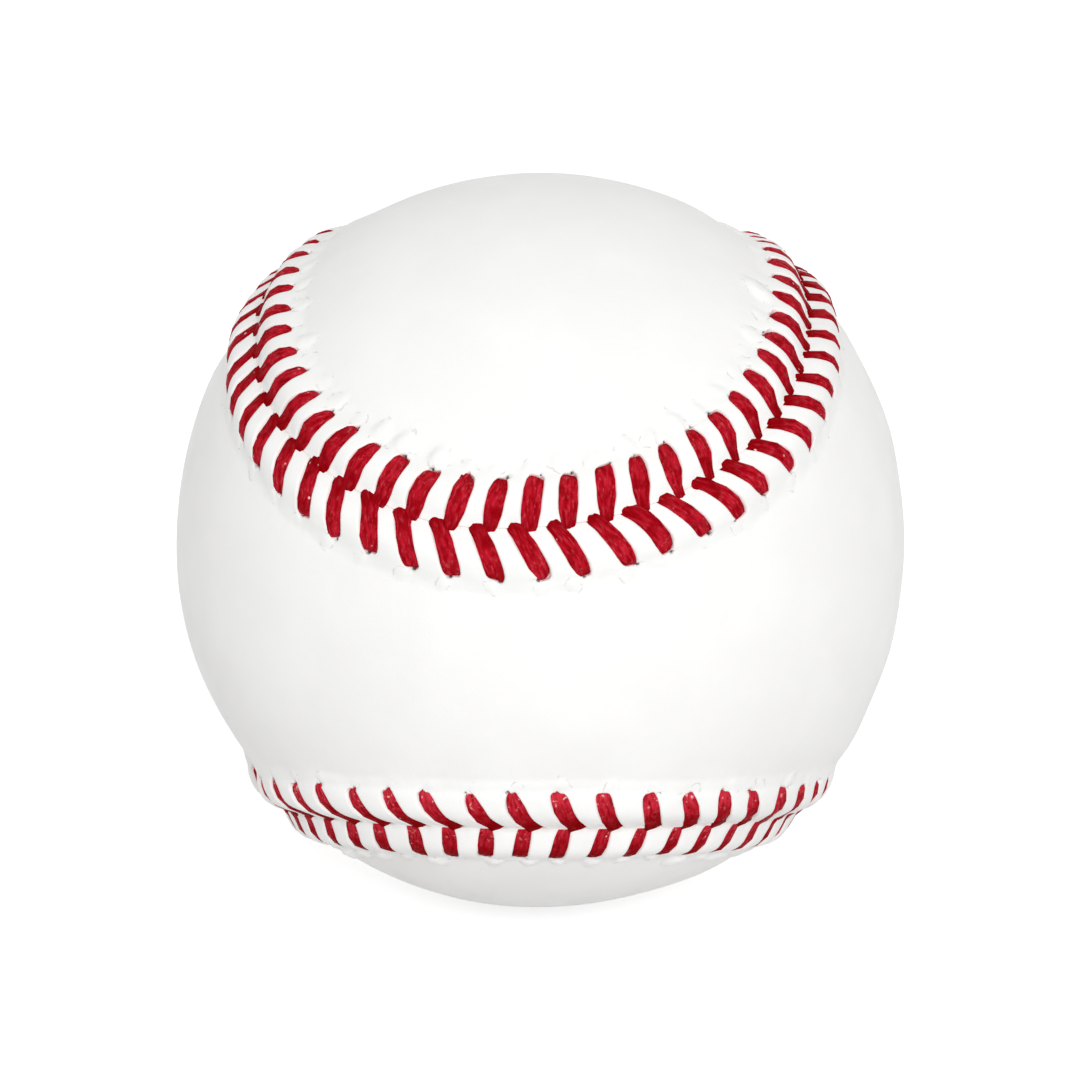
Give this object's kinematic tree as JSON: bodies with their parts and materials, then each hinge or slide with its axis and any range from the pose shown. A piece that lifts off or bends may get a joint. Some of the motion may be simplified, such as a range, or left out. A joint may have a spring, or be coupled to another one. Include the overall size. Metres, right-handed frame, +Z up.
{
  "type": "baseball",
  "caption": "White leather baseball with a raised red double-stitched seam round two figure-of-eight panels, over a wound cork and rubber centre.",
  "frame": {"origin": "the centre of the ball", "axes": "+Z up, between the two lobes of the back panel; -Y out through the middle of the front panel's waist; X between the two lobes of the front panel"},
  "size_m": [0.074, 0.074, 0.074],
  "materials": {
    "cork": "rough cork and rubber composition",
    "black_rubber": "matt moulded",
    "gasket_rubber": "matt cushion rubber",
    "red_rubber": "matt moulded",
    "dark_grey_wool": "four-ply wound yarn",
    "white_wool": "three-ply wound yarn",
    "grey_wool": "three-ply wound yarn",
    "white_cotton": "fine wound thread",
    "dried_cement": "thin dried latex",
    "white_leather": "smooth alum-tanned leather, satin",
    "red_waxed_thread": "plied and waxed"
  },
  "bodies": {
    "root": {"cork_core": "cork", "inner_cup_upper": "black_rubber", "inner_cup_lower": "black_rubber", "inner_gasket": "gasket_rubber", "outer_cup_front": "red_rubber", "outer_cup_back": "red_rubber", "outer_gasket": "gasket_rubber", "first_wool_winding": "dark_grey_wool", "second_wool_winding": "white_wool", "third_wool_winding": "grey_wool", "finishing_winding": "white_cotton", "adhesive_coat": "dried_cement", "cover_front_panel": "white_leather", "cover_back_panel": "white_leather", "thread_first_needle": "red_waxed_thread", "thread_second_needle": "red_waxed_thread"}
  },
  "joints": []
}
